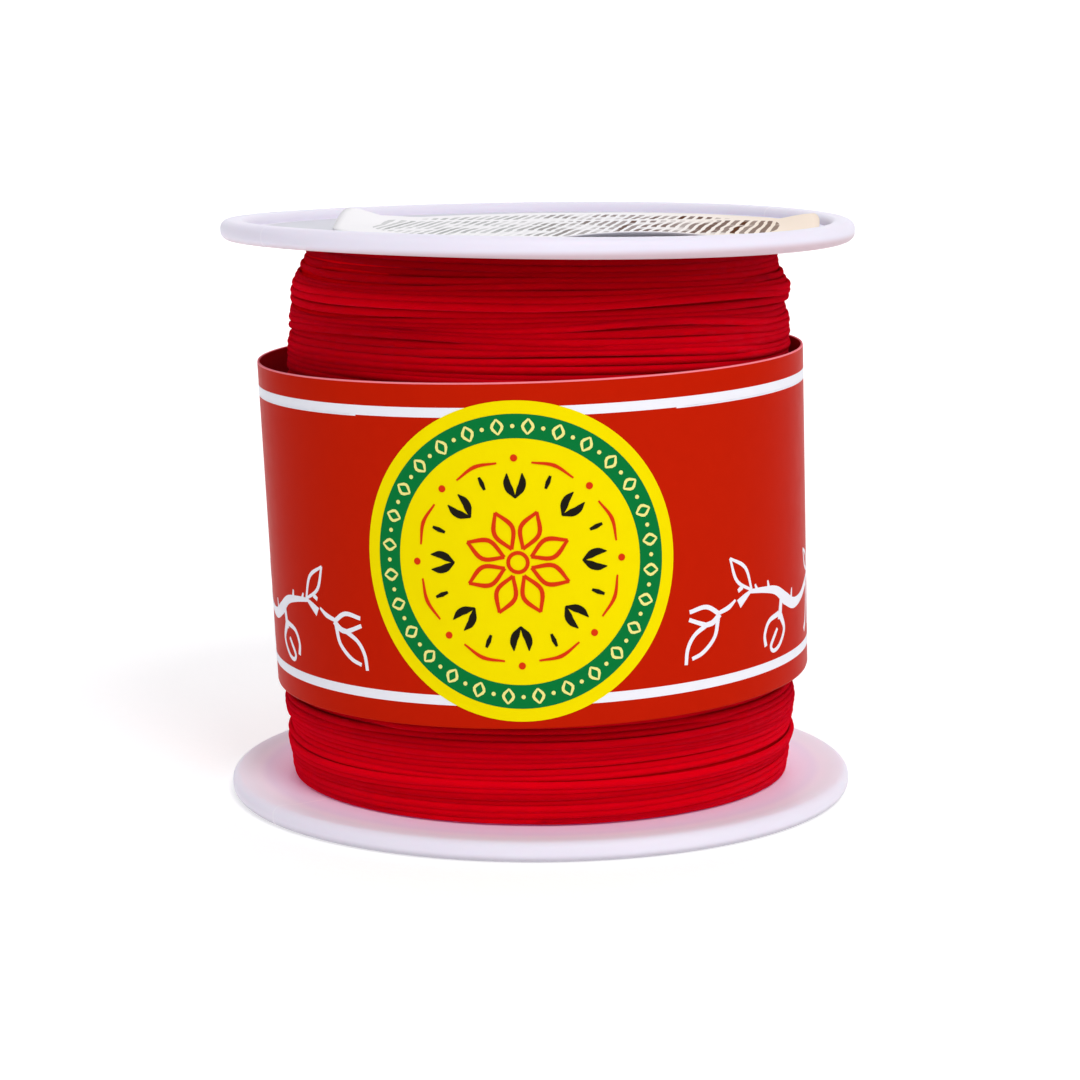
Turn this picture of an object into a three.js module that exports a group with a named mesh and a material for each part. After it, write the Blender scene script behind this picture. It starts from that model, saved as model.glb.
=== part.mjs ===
// A spool of Chinese knotting cord: a moulded plastic spool, its wound red cord, a loose
// paper band round the winding and a round paper label lying in the upper flange.
// Millimetres, +Z up, origin at the middle of the ring that the spool stands on.
// Angles are measured round the axis from the front (-Y), positive towards +X.
import * as THREE from 'three';

// Driving dimensions
const overallHeight = 73.2;
const flangeRadius = 40;
const rimWidth = 3.2;
const rimHeight = 2.5;
const rimRounding = 1.05;
const webThickness = 1.1;
const webBelowRim = 0.15;
const barrelRadius = 14.5;
const boreRadius = 12.5;
const boreChamfer = 0.4;
const pieceGap = 0.3;
const sheetThickness = 1;

// The upper flange leans and twists a little. Both are heights at the rim.
const leanAtRim = 0.21;
const twistAtRim = 0.25;

// Steps round the axis
const spoolSteps = 72;
const windingSteps = 72;
const bandSteps = 72;
const labelSteps = 48;

const webTop = rimHeight - webBelowRim;
const webUnderside = webTop - webThickness;

// The winding's edge as seen from the front, from the lower flange to the upper one.
const windingSections = [
  { height: webTop + pieceGap, left: 32.2, right: 32.2 },
  { height: 4.3, left: 32.35, right: 32.3 },
  { height: 5.9, left: 32.6, right: 32.45 },
  { height: 7.4, left: 32.85, right: 32.85 },
  { height: 9.1, left: 32.4, right: 32.55 },
  { height: 10.9, left: 32.9, right: 32.85 },
  { height: 12.3, left: 32.95, right: 32.9 },
  { height: 14.2, left: 32.4, right: 32.4 },
  { height: 19, left: 32.3, right: 32.3 },
  { height: 25, left: 32.4, right: 32.3 },
  { height: 31, left: 32.2, right: 32.3 },
  { height: 37, left: 32.3, right: 32.2 },
  { height: 43, left: 32.2, right: 32.1 },
  { height: 49, left: 32, right: 32 },
  { height: 55, left: 31.9, right: 31.9 },
  { height: 57.6, left: 31.8, right: 32 },
  { height: 59.1, left: 31.5, right: 32.05 },
  { height: 60.4, left: 31.75, right: 32.2 },
  { height: 61.4, left: 31.45, right: 32 },
  { height: 62.7, left: 31.75, right: 31.5 },
  { height: 64.2, left: 31.6, right: 31.9 },
  { height: 65.3, left: 31.35, right: 32.05 },
  { height: 66.3, left: 30.9, right: 31.1 },
  { height: 67.4, left: 30.1, right: 30.75 },
  { height: 68.8, left: 29.3, right: 30.6 },
  { height: overallHeight - webTop - pieceGap, left: 28.9, right: 30.3 },
];

// Runs of cord that cross the other turns on a slant and stand a little proud of them.
const crossingRuns = [
  { angle: -0.9, height: 66.2, rise: 1.9, reach: 0.9, proud: 0.3 },
  { angle: 0.6, height: 63.9, rise: -1.6, reach: 0.8, proud: 0.35 },
  { angle: 2.5, height: 62.5, rise: 2.1, reach: 1, proud: 0.3 },
  { angle: -2.3, height: 61.3, rise: -1.8, reach: 0.9, proud: 0.3 },
  { angle: -0.5, height: 6.8, rise: -1.4, reach: 0.8, proud: 0.25 },
  { angle: 1.4, height: 8.6, rise: 1.5, reach: 0.9, proud: 0.25 },
  { angle: 3, height: 7.2, rise: 1.7, reach: 1, proud: 0.3 },
];
const crossingRunWidth = 0.9;

// The paper band's edges: each is an oval, off the axis and a little tilted.
const bandLowerEdge = { height: 15.55, shiftX: 0.34, radiusX: 34.24, radiusY: 34.35, tiltX: 0.027, tiltY: 0.017 };
const bandUpperEdge = { height: 56.55, shiftX: -1.07, radiusX: 34.69, radiusY: 34.51, tiltX: 0.026, tiltY: 0.008 };
const bandHeightSteps = 4;
const lapHalfAngle = 0.18;
const lapStep = 0.35;

// The label's middle, and the stretches where its edge stands up from the flange.
const labelRadius = 30.5;
const labelShift = { x: 4.8, y: -3 };
const labelRings = 6;
const labelLifts = [
  { angle: 0.55, reach: 0.5, lift: 0.35 },
  { angle: -2.15, reach: 0.35, lift: 0.6 },
  { angle: 1.75, reach: 0.4, lift: 0.25 },
];

// Height that the upper flange gains at a point, from its lean and twist.
function flangeLean(x, y) {
  const across = x / flangeRadius;
  const along = y / flangeRadius;
  return -leanAtRim * across + 2 * twistAtRim * across * along;
}

// One smooth hump round an angle, 1 at its middle and 0 past its reach.
function hump(angle, middle, reach) {
  const turn = Math.atan2(Math.sin(angle - middle), Math.cos(angle - middle));
  const share = Math.min(Math.abs(turn) / reach, 1);
  return 0.5 + 0.5 * Math.cos(Math.PI * share);
}

// Revolves a profile of [radius, height] points round Z, then moves each vertex to the
// point that place(angle, radius, height) gives.
function revolve(profile, steps, place) {
  const points = profile.map(([radius, height]) => new THREE.Vector2(radius, height));
  const geometry = new THREE.LatheGeometry(points, steps);
  geometry.rotateX(Math.PI / 2);
  const position = geometry.attributes.position;
  for (let index = 0; index < position.count; index += 1) {
    const x = position.getX(index);
    const y = position.getY(index);
    const moved = place(Math.atan2(x, -y), Math.hypot(x, y), position.getZ(index));
    position.setXYZ(index, moved.x, moved.y, moved.z);
  }
  geometry.computeVertexNormals();
  return geometry;
}

function onCircle(angle, radius, height) {
  return { x: radius * Math.sin(angle), y: -radius * Math.cos(angle), z: height };
}

function namedMesh(name, geometry, color, roughness) {
  const material = new THREE.MeshStandardMaterial({ color, roughness, metalness: 0 });
  const mesh = new THREE.Mesh(geometry, material);
  mesh.name = name;
  return mesh;
}

// A quarter of a round about a middle point, starting from one angle.
function roundedCorner(radius, height, fromAngle) {
  const stepsInCorner = 3;
  const corner = [];
  for (let step = 0; step <= stepsInCorner; step += 1) {
    const angle = fromAngle + (Math.PI / 2) * (step / stepsInCorner);
    corner.push([radius + rimRounding * Math.cos(angle), height + rimRounding * Math.sin(angle)]);
  }
  return corner;
}

// Half of the spool's section: the lower flange, from the bore out to the rim and back in.
function flangeSection() {
  const rimInside = flangeRadius - rimWidth;
  const roundInside = rimInside + rimRounding;
  const roundOutside = flangeRadius - rimRounding;
  return [
    [boreRadius, webUnderside + boreChamfer],
    [boreRadius + boreChamfer, webUnderside],
    [rimInside, webUnderside],
    ...roundedCorner(roundInside, rimRounding, Math.PI),
    ...roundedCorner(roundOutside, rimRounding, -Math.PI / 2),
    ...roundedCorner(roundOutside, rimHeight - rimRounding, 0),
    [roundInside, rimHeight],
    [rimInside, webTop],
    [barrelRadius, webTop],
  ];
}

// The spool is moulded in one piece: two flanges with thick rims on a hollow barrel.
function buildSpool() {
  const lower = flangeSection();
  const upper = lower.map(([radius, height]) => [radius, overallHeight - height]).reverse();
  const profile = [...lower, ...upper, lower[0]];
  return revolve(profile, spoolSteps, (angle, radius, height) => {
    const point = onCircle(angle, radius, height);
    if (height > overallHeight / 2) {
      point.z += flangeLean(point.x, point.y);
    }
    return point;
  });
}

// How far the slanting runs lift the winding's surface at a point.
function crossingLift(angle, height) {
  let lift = 0;
  for (const run of crossingRuns) {
    const turn = Math.atan2(Math.sin(angle - run.angle), Math.cos(angle - run.angle));
    const middle = run.height + run.rise * turn;
    const away = (height - middle) / crossingRunWidth;
    lift += run.proud * hump(angle, run.angle, run.reach) * Math.exp(-away * away);
  }
  return lift;
}

// The wound cord is one ring that fills the spool between its flanges.
function buildWinding() {
  const innerRadius = barrelRadius + pieceGap;
  const rowOf = new Map(windingSections.map((section) => [section.height.toFixed(3), section]));
  const outer = windingSections.map((section) => [(section.left + section.right) / 2, section.height]);
  const bottom = windingSections[0].height;
  const top = windingSections[windingSections.length - 1].height;
  const profile = [[innerRadius, bottom], ...outer, [innerRadius, top], [innerRadius, bottom]];
  return revolve(profile, windingSteps, (angle, radius, height) => {
    let wound = radius;
    if (radius > barrelRadius * 1.5) {
      const row = rowOf.get(height.toFixed(3));
      const towardsRight = (1 + Math.sin(angle)) / 2;
      wound = row.left + (row.right - row.left) * towardsRight + crossingLift(angle, height);
    }
    const point = onCircle(angle, wound, height);
    point.z += flangeLean(point.x, point.y) * (height / top) ** 2;
    return point;
  });
}

// The paper band is a sleeve of one sheet, lapped at the back where its ends are glued.
function buildBand() {
  const outside = bandUpperEdge.radiusX;
  const inside = outside - sheetThickness;
  const profile = [];
  for (let step = 0; step <= bandHeightSteps; step += 1) {
    profile.push([outside, step / bandHeightSteps]);
  }
  for (let step = bandHeightSteps; step >= 0; step -= 1) {
    profile.push([inside, step / bandHeightSteps]);
  }
  profile.push(profile[0]);
  return revolve(profile, bandSteps, (angle, radius, share) => {
    const between = (name) => bandLowerEdge[name] + (bandUpperEdge[name] - bandLowerEdge[name]) * share;
    const onOutside = radius > (inside + outside) / 2;
    const overLap = Math.abs(angle) > Math.PI - lapHalfAngle;
    const inset = onOutside ? 0 : sheetThickness;
    const proud = onOutside && overLap ? lapStep : 0;
    const x = between('shiftX') + (between('radiusX') - inset + proud) * Math.sin(angle);
    const y = -(between('radiusY') - inset + proud) * Math.cos(angle);
    return { x, y, z: between('height') + between('tiltX') * x + between('tiltY') * y };
  });
}

// The label is a thin disc lying on the upper flange, with its edge curled up in places.
function buildLabel() {
  const underside = overallHeight - webUnderside + pieceGap;
  const profile = [];
  for (let ring = 0; ring <= labelRings; ring += 1) {
    profile.push([(labelRadius * ring) / labelRings, underside]);
  }
  for (let ring = labelRings; ring >= 0; ring -= 1) {
    profile.push([(labelRadius * ring) / labelRings, underside + sheetThickness]);
  }
  return revolve(profile, labelSteps, (angle, radius, height) => {
    const point = onCircle(angle, radius, height);
    point.x += labelShift.x;
    point.y += labelShift.y;
    point.z += flangeLean(point.x, point.y);
    for (const { angle: middle, reach, lift } of labelLifts) {
      point.z += lift * hump(angle, middle, reach) * (radius / labelRadius) ** 2;
    }
    return point;
  });
}

const cordSpool = new THREE.Group();
cordSpool.add(
  namedMesh('spool', buildSpool(), 0xe9e6f0, 0.38),
  namedMesh('winding', buildWinding(), 0xc00010, 0.55),
  namedMesh('band', buildBand(), 0xc62a14, 0.5),
  namedMesh('label', buildLabel(), 0xf4f2ec, 0.6),
);

export default cordSpool;
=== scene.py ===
import math

import bmesh
import bpy
import numpy as np
from mathutils import Matrix, Vector


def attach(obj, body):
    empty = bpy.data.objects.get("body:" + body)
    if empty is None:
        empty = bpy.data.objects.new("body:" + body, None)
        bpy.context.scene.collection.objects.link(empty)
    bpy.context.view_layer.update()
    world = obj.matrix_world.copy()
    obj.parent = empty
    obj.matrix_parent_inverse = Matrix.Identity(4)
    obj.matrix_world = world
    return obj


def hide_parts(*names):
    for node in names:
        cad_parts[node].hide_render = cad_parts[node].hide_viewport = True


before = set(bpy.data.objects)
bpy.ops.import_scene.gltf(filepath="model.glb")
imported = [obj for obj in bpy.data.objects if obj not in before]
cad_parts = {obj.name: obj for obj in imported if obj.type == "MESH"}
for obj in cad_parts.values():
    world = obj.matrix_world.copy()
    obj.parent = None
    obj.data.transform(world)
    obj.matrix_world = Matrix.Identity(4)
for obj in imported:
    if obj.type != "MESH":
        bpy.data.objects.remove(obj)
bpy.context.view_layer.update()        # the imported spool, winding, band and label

# Pieces are drawn in millimetres, +Z up, and turned to metres when their object is made.
# Angles go round the axis from the front (-Y), positive towards +X.
mm = 0.001


# Small helpers shared by all pieces

rgba = {"data_type": "RGBA"}
smooth = {"interpolation_type": "SMOOTHSTEP"}


def linearColour(hexColour):
    channels = [int(hexColour[i:i + 2], 16) / 255 for i in (1, 3, 5)]
    return [c / 12.92 if c <= 0.04045 else ((c + 0.055) / 1.055) ** 2.4 for c in channels] + [1.0]


def addNode(tree, kind, settings=None, inputs=None):
    node = tree.nodes.new("ShaderNode" + kind)
    for name, value in (settings or {}).items():
        setattr(node, name, value)
    for name, value in (inputs or {}).items():
        if isinstance(value, bpy.types.NodeSocket):
            tree.links.new(value, node.inputs[name])
        else:
            isColour = isinstance(value, str) and value.startswith("#")
            node.inputs[name].default_value = linearColour(value) if isColour else value
    return node


def newMaterial(name):
    material = bpy.data.materials.new(name)
    material.use_nodes = True
    material.node_tree.nodes.clear()
    return material, material.node_tree


def finishMaterial(tree, inputs):
    shader = addNode(tree, "BsdfPrincipled", None, inputs)
    addNode(tree, "OutputMaterial", None, {"Surface": shader.outputs["BSDF"]})


def makePiece(name, mesh, materials, sharpAngle=180):
    bmesh.ops.scale(mesh, verts=mesh.verts, vec=(mm, mm, mm))
    data = bpy.data.meshes.new(name)
    mesh.to_mesh(data)
    mesh.free()
    for material in materials:
        data.materials.append(material)
    data.polygons.foreach_set("use_smooth", [True] * len(data.polygons))
    if sharpAngle < 180:
        data.set_sharp_from_angle(angle=math.radians(sharpAngle))
    piece = bpy.data.objects.new(name, data)
    bpy.context.collection.objects.link(piece)
    return piece


def belongs(piece, slot, *nodes):
    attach(piece, "root")
    if nodes:
        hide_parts(*nodes)
    return piece


def wrapAngle(angle):
    return math.atan2(math.sin(angle), math.cos(angle))


def hump(turn, reach):
    return 0.5 + 0.5 * math.cos(math.pi * min(abs(turn) / reach, 1))


def smoothStep(value):
    value = min(max(value, 0), 1)
    return value * value * (3 - 2 * value)


# Revolves an outline of (radius, height) points round Z.
def spinOutline(outline, steps, closed=True):
    mesh = bmesh.new()
    verts = [mesh.verts.new((radius, 0, height)) for radius, height in outline]
    pairs = list(zip(verts, verts[1:])) + ([(verts[-1], verts[0])] if closed else [])
    edges = [mesh.edges.new(pair) for pair in pairs]
    bmesh.ops.spin(mesh, geom=verts + edges, cent=(0, 0, 0), axis=(0, 0, 1),
                   angle=2 * math.pi, steps=steps, use_merge=True)
    bmesh.ops.remove_doubles(mesh, verts=mesh.verts, dist=0.001)
    bmesh.ops.recalc_face_normals(mesh, faces=mesh.faces)
    return mesh


# Camera: level with the photograph's own, about ten degrees above the horizon

cameraPlace = {
    "location": (0.000079, -0.36877, 0.09408),
    "pitchDown": 0.1673,
    "roll": -0.0055,
    "lens": 96.63,
    "sensor": 36,
}


def placeCamera(place):
    data = bpy.data.cameras.new("camera")
    data.lens = place["lens"]
    data.sensor_width = place["sensor"]
    data.clip_start = 0.01
    data.clip_end = 20
    camera = bpy.data.objects.new("camera", data)
    bpy.context.collection.objects.link(camera)
    camera.matrix_world = (
        Matrix.Translation(place["location"])
        @ Matrix.Rotation(math.pi / 2 - place["pitchDown"], 4, "X")
        @ Matrix.Rotation(place["roll"], 4, "Z")
    )
    bpy.context.scene.camera = camera


placeCamera(cameraPlace)


# Studio: a pale floor that sweeps up behind, a bright pale surround and soft lamps

studio = {
    "floorColour": "#D0D0D0",
    "floorGlow": 0.5,
    "floor": {"halfWidth": 3000, "front": -1500, "back": 1500, "wall": 1600, "bend": 600},
    "surround": "#F8F8FF",
    "surroundStrength": 0.47,
    "lamps": [
        {"name": "keyLamp", "at": (0.3, -0.66, 0.8), "aim": (0, 0, 0.03), "size": 0.36, "watts": 4.8,
         "colour": "#FFFCFA"},
        {"name": "fillLamp", "at": (-0.75, -0.55, 0.3), "aim": (0, 0, 0.03), "size": 0.6, "watts": 0.1,
         "colour": "#EAEEFF"},
        {"name": "topLamp", "at": (0.05, -0.1, 0.95), "aim": (0, 0, 0.03), "size": 0.7, "watts": 0.8,
         "colour": "#FFFFFF"},
        {"name": "backLamp", "at": (0, 0.7, 0.9), "aim": (0, 1.5, 0.1), "size": 0.8, "watts": 6.0,
         "colour": "#FFFFFF"},
    ],
}


def buildStudio(settings):
    floorPaint, tree = newMaterial("matt white studio card")
    place = addNode(tree, "TexCoord").outputs["Object"]
    grain = addNode(tree, "TexNoise", None, {"Vector": place, "Scale": 900.0})
    bump = addNode(tree, "Bump", None, {"Height": grain.outputs["Fac"], "Strength": 0.05})
    finishMaterial(tree, {"Base Color": settings["floorColour"], "Roughness": 0.9,
                          "Specular IOR Level": 0.1, "Normal": bump.outputs["Normal"],
                          "Emission Color": "#FFFFFF",
                          "Emission Strength": settings["floorGlow"]})

    mesh = bmesh.new()
    floor = settings["floor"]
    front, back = floor["front"], floor["back"]
    ends = [mesh.verts.new((x, front, 0)) for x in (-floor["halfWidth"], floor["halfWidth"])]
    edges = [mesh.edges.new(ends)]
    for step in ((0, back - front, 0), (0, 0, floor["wall"])):
        grown = bmesh.ops.extrude_edge_only(mesh, edges=edges)["geom"]
        edges = [item for item in grown if isinstance(item, bmesh.types.BMEdge)]
        movedVerts = [item for item in grown if isinstance(item, bmesh.types.BMVert)]
        bmesh.ops.translate(mesh, verts=movedVerts, vec=step)
        edges = [edge for edge in edges if all(vert in movedVerts for vert in edge.verts)]
    corner = [e for e in mesh.edges if all(abs(v.co.y - back) < 1 and v.co.z < 1 for v in e.verts)]
    bmesh.ops.bevel(mesh, geom=corner, offset=floor["bend"], offset_type="OFFSET", segments=12,
                    profile=0.5, affect="EDGES", material=-1)
    bmesh.ops.recalc_face_normals(mesh, faces=mesh.faces)
    if mesh.faces[:][0].normal.z < 0:
        bmesh.ops.reverse_faces(mesh, faces=mesh.faces)
    makePiece("floor", mesh, [floorPaint])

    world = bpy.data.worlds.new("surround")
    world.use_nodes = True
    background = world.node_tree.nodes["Background"]
    background.inputs["Color"].default_value = linearColour(settings["surround"])
    background.inputs["Strength"].default_value = settings["surroundStrength"]
    bpy.context.scene.world = world

    for lamp in settings["lamps"]:
        data = bpy.data.lights.new(lamp["name"], "AREA")
        data.shape = "DISK"
        data.size = lamp["size"]
        data.energy = lamp["watts"]
        data.color = linearColour(lamp["colour"])[:3]
        holder = bpy.data.objects.new(lamp["name"], data)
        bpy.context.collection.objects.link(holder)
        holder.location = lamp["at"]
        aim = Vector(lamp["aim"]) - Vector(lamp["at"])
        holder.rotation_euler = aim.to_track_quat("-Z", "Y").to_euler()
    bpy.context.scene.view_settings.view_transform = "Standard"   # keeps the printed reds full


buildStudio(studio)
print("studio and camera placed")


# Spool: one moulding, two flanges with thick rounded rims on a hollow barrel

spoolShape = {
    "height": 73.2,
    "flangeRadius": 40,
    "rimWidth": 3.2,
    "rimHeight": 2.5,
    "rimRounding": 1.05,
    "webUnderside": 1.25,
    "webTop": 2.35,
    "landWidth": 2.15,
    "barrelRadius": 14.5,
    "boreRadius": 12.5,
    "leanAtRim": 0.21,
    "twistAtRim": 0.25,
    "steps": 180,
    "roundingSegments": 6,
    "boreChamfer": 0.4,
    "partingAngle": -55.5,
    "partingWidth": 0.22,
    "glow": 0.13,
    "glowBelow": 71.4,
}


# Height that the upper flange gains at a point, because it leans and twists a little.
def flangeLean(x, y):
    across = x / spoolShape["flangeRadius"]
    along = y / spoolShape["flangeRadius"]
    return -spoolShape["leanAtRim"] * across + 2 * spoolShape["twistAtRim"] * across * along


def milkyPolypropylene(shape):
    material, tree = newMaterial("milky moulded polypropylene")
    place = addNode(tree, "TexCoord").outputs["Object"]
    split = addNode(tree, "SeparateXYZ", None, {"Vector": place})
    # Pale and slightly see-through, so light goes a little way in. Its tone drifts slowly over
    # 15 mm, and the mould's fine texture, 0.5 mm apart, softens the reflections.
    drift = addNode(tree, "TexNoise", None, {"Vector": place, "Scale": 1 / 0.015, "Detail": 1.0})
    texture = addNode(tree, "TexNoise", None, {"Vector": place, "Scale": 1 / 0.0005, "Detail": 1.0})
    gloss = addNode(tree, "MapRange", None,
                    {"Value": drift.outputs["Fac"], "To Min": 0.46, "To Max": 0.54})
    # The mould's halves meet in a plane through the axis and leave a fine raised line. Its paler colour
    # is a painted highlight, where the line's edge catches light.
    normal = math.radians(shape["partingAngle"])
    apart = addNode(tree, "VectorMath", {"operation": "DOT_PRODUCT"},
                    {0: place, 1: (math.cos(normal), math.sin(normal), 0)})
    away = addNode(tree, "Math", {"operation": "ABSOLUTE"}, {0: apart.outputs["Value"]})
    seam = addNode(tree, "MapRange", smooth,
                   {"Value": away.outputs[0], "From Min": shape["partingWidth"] * mm, "From Max": 0.0,
                    "To Max": 0.6})
    plain = addNode(tree, "Mix", rgba, {0: drift.outputs["Fac"], 6: "#E8E4F2", 7: "#EEEBF6"})
    # The webs are thin, so they pass more light than the rims and look greyer; this grey is painted
    # shade, strongest on the upper web, which lies in its rim's shade.
    flat = addNode(tree, "CombineXYZ", None, {"X": split.outputs["X"], "Y": split.outputs["Y"]})
    out = addNode(tree, "VectorMath", {"operation": "LENGTH"}, {0: flat.outputs["Vector"]})
    thin = addNode(tree, "MapRange", smooth,
                   {"Value": out.outputs["Value"], "From Min": 0.0367, "From Max": 0.0352})
    below = addNode(tree, "Math", {"operation": "LESS_THAN"},
                    {0: split.outputs["Z"], 1: shape["glowBelow"] * mm})
    webToneAndShade = addNode(tree, "Mix", rgba, {0: below.outputs[0], 6: "#CDCDD6", 7: "#E2E0F2"})
    walls = addNode(tree, "Mix", rgba,
                    {0: thin.outputs["Result"], 6: plain.outputs[2], 7: webToneAndShade.outputs[2]})
    # Painted shade: light falls from above, so both rims' lower edges are painted greyer, the upper
    # one's with a painted hint of red light bounced off the cord.
    shifted = addNode(tree, "Math", {"operation": "ADD"}, {0: split.outputs["Z"], 1: mm})
    upRim = addNode(tree, "Math", {"operation": "MODULO"},
                    {0: shifted.outputs[0], 1: (shape["height"] - shape["rimHeight"]) * mm})
    lowEdgeShade = addNode(tree, "MapRange", smooth,
                      {"Value": upRim.outputs[0], "From Min": 0.0021, "From Max": 0.0012})
    upper = addNode(tree, "Math", {"operation": "GREATER_THAN"},
                    {0: split.outputs["Z"], 1: shape["height"] / 2 * mm})
    edgeShade = addNode(tree, "Mix", rgba, {0: upper.outputs[0], 6: "#C2BEC8", 7: "#D4BEC6"})
    rims = addNode(tree, "Mix", rgba,
                   {0: lowEdgeShade.outputs["Result"], 6: walls.outputs[2], 7: edgeShade.outputs[2]})
    # Painted highlight: the parting line is painted paler.
    colour = addNode(tree, "Mix", rgba, {0: seam.outputs["Result"], 6: rims.outputs[2], 7: "#F4F2FA"})
    seamRelief = addNode(tree, "Bump", None,
                         {"Height": seam.outputs["Result"], "Strength": 0.2, "Distance": 0.00003})
    grain = addNode(tree, "Bump", None,
                    {"Height": texture.outputs["Fac"], "Strength": 0.2, "Distance": 0.00002,
                     "Normal": seamRelief.outputs["Normal"]})
    # A painted glow: the emission stands in for light that comes through the winding and spreads in the
    # flange as a pink glow round the cord, on the faces that look towards the winding.
    near = addNode(tree, "MapRange", smooth,
                   {"Value": out.outputs["Value"], "From Min": 0.0385, "From Max": 0.0325,
                    "To Max": shape["glow"]})
    glow = addNode(tree, "Math", {"operation": "MULTIPLY"},
                   {0: near.outputs["Result"], 1: below.outputs[0]})
    finishMaterial(tree, {
        "Base Color": colour.outputs[2], "Roughness": gloss.outputs["Result"], "IOR": 1.49,
        "Subsurface Weight": 0.35, "Subsurface Radius": (1.0, 0.7, 0.8), "Subsurface Scale": 0.0012,
        "Specular IOR Level": 0.2,
        "Normal": grain.outputs["Normal"],
        "Emission Color": "#FF4CA0", "Emission Strength": glow.outputs[0],
    })
    return material


def buildSpool(shape):
    rimInside = shape["flangeRadius"] - shape["rimWidth"]
    flange = [
        (shape["boreRadius"], shape["webUnderside"] + shape["boreChamfer"]),
        (shape["boreRadius"] + shape["boreChamfer"], shape["webUnderside"]),
        (rimInside, shape["webUnderside"]),
        (rimInside, 0),
        (shape["flangeRadius"], 0),
        (shape["flangeRadius"], shape["rimHeight"]),
        (shape["flangeRadius"] - shape["landWidth"], shape["rimHeight"]),
        (rimInside, shape["webTop"]),
        (shape["barrelRadius"], shape["webTop"]),
    ]
    upper = [(radius, shape["height"] - height) for radius, height in reversed(flange)]
    mesh = spinOutline(flange + upper, shape["steps"])

    rounded = [flange[3], flange[4], flange[5]] + [upper[3], upper[4], upper[5]]

    def runsAlong(edge, corner):
        return all(math.hypot(math.hypot(v.co.x, v.co.y) - corner[0], v.co.z - corner[1]) < 0.01
                   for v in edge.verts)

    edges = [edge for edge in mesh.edges if any(runsAlong(edge, corner) for corner in rounded)]
    bmesh.ops.bevel(mesh, geom=edges, offset=shape["rimRounding"], offset_type="OFFSET",
                    segments=shape["roundingSegments"], profile=0.5, affect="EDGES", material=-1)

    for vert in mesh.verts:
        if vert.co.z > shape["height"] / 2:
            vert.co.z += flangeLean(vert.co.x, vert.co.y)
    spool = makePiece("spoolMoulding", mesh, [milkyPolypropylene(shape)], sharpAngle=35)
    return belongs(spool, "spool_plastic", "spool")


buildSpool(spoolShape)
print("spool moulded")


# Winding: cord laid turn on turn. Each new turn lies on the ones below it, as on a winding
# machine, and the turns spread and cross a little in the outer layer.

cord = {
    "diameter": 0.8,
    "drawnDiameter": 0.98,     # a little over the pitch: the soft turns are pressed together
    "squash": 0.68,            # and flattened against the turns below them
    "pitch": 0.8,
    "mostProud": 0.1,
    "mostSunk": 0.2,
    "sinking": 0.07,
    "pointsPerTurn": 120,
    "bright": "#FF001A",
    "dark": "#8E0009",
    "braidLength": 1.1,
    "toneDrift": (0.16, 0.1),  # slow over a turn, and quick over a fifth of one
    # Slow waves in a turn: how many go round, share of the wander, turns from change to change.
    "waves": [(1, 1.0, 1.3), (2, 0.7, 1.6), (3, 0.5, 2.2), (5, 0.25, 3.0)],
    "waveHeight": 0.7,
    # What share of a crossing's climb the turns beside it take, by how many turns away they are.
    "drawnAlong": {0: 1.0, 1: 0.5, -1: 0.5, 2: 0.22, -2: 0.22},
    "mapStep": 0.075,          # from one row of the height map to the next
    "mapRows": 6,              # so many rows up and down bear on a cord
    "overlap": 10,             # points of the turns before and after that a turn is bent with
    "bridging": 2,             # points on each side over which a cord spans a hollow
    "bending": (4, 1.6),       # points on each side over which it bends, and how softly
    "evening": (30, 14),       # the same in rows, for the heap's mean outside
}

# The winding's edge as seen from the front: height, radius on the left, radius on the right.
windingEdge = [
    (2.65, 31.9, 31.9), (4.3, 32.2, 32.2), (5.9, 32.6, 32.45), (7.4, 32.85, 32.85),
    (9.1, 32.4, 32.55), (10.9, 32.9, 32.85), (12.3, 32.95, 32.9), (14.2, 32.4, 32.4),
    (19, 32.3, 32.3), (25, 32.4, 32.3), (31, 32.2, 32.3), (37, 32.3, 32.2), (43, 32.2, 32.1),
    (49, 32, 32), (55, 31.9, 31.9), (57.6, 31.8, 32), (59.1, 31.5, 32.05), (60.4, 31.75, 32.2),
    (61.4, 31.45, 32), (62.7, 31.75, 31.5), (64.2, 31.6, 31.9), (65.3, 31.35, 32.05),
    (66.3, 30.9, 31.1), (67.4, 30.1, 30.75), (68.8, 29.3, 30.6), (70.55, 28.9, 30.3),
]

# A zone's crossings each have their turn in the outer layer, its reach in turns, and its climb.
woundZones = {
    "windingUpper": {
        "bottom": 48.5, "top": 70.5, "startsAt": "top", "traverses": 3, "seed": 21,
        "outerPitch": (0.66, 0.82), "wander": 0.1, "stray": 0.14,
        "shade": [(48.5, 0.7), (56, 0.6), (62, 0.5), (67.4, 0.42), (68.6, 0.18), (70.5, 0.0)],
        "crossings": [
            (4.36, 0.16, -1.0), (7.62, 0.14, 0.8), (9.32, 0.2, -1.3), (11.58, 0.12, 1.3),
            (13.4, 0.18, 1.0), (15.55, 0.16, 0.9),
        ],
    },
    "windingLower": {
        "bottom": 2.2, "top": 22.5, "startsAt": "bottom", "traverses": 3, "seed": 8,
        "outerPitch": (0.66, 0.82), "wander": 0.08, "stray": 0.12,
        "shade": [(2.2, 1.0), (4.5, 0.88), (7, 0.7), (12, 0.58), (16, 0.56), (22.5, 0.56)],
        "crossings": [(3.7, 0.16, 0.6), (6.35, 0.14, -0.5), (9.6, 0.2, 0.7)],
    },
}


def windingRadius(angle, height):
    heights, left, right = (np.array(column) for column in zip(*windingEdge))
    towardsRight = (1 + np.sin(angle)) / 2
    onLeft = np.interp(height, heights, left)
    return onLeft + (np.interp(height, heights, right) - onLeft) * towardsRight


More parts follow.
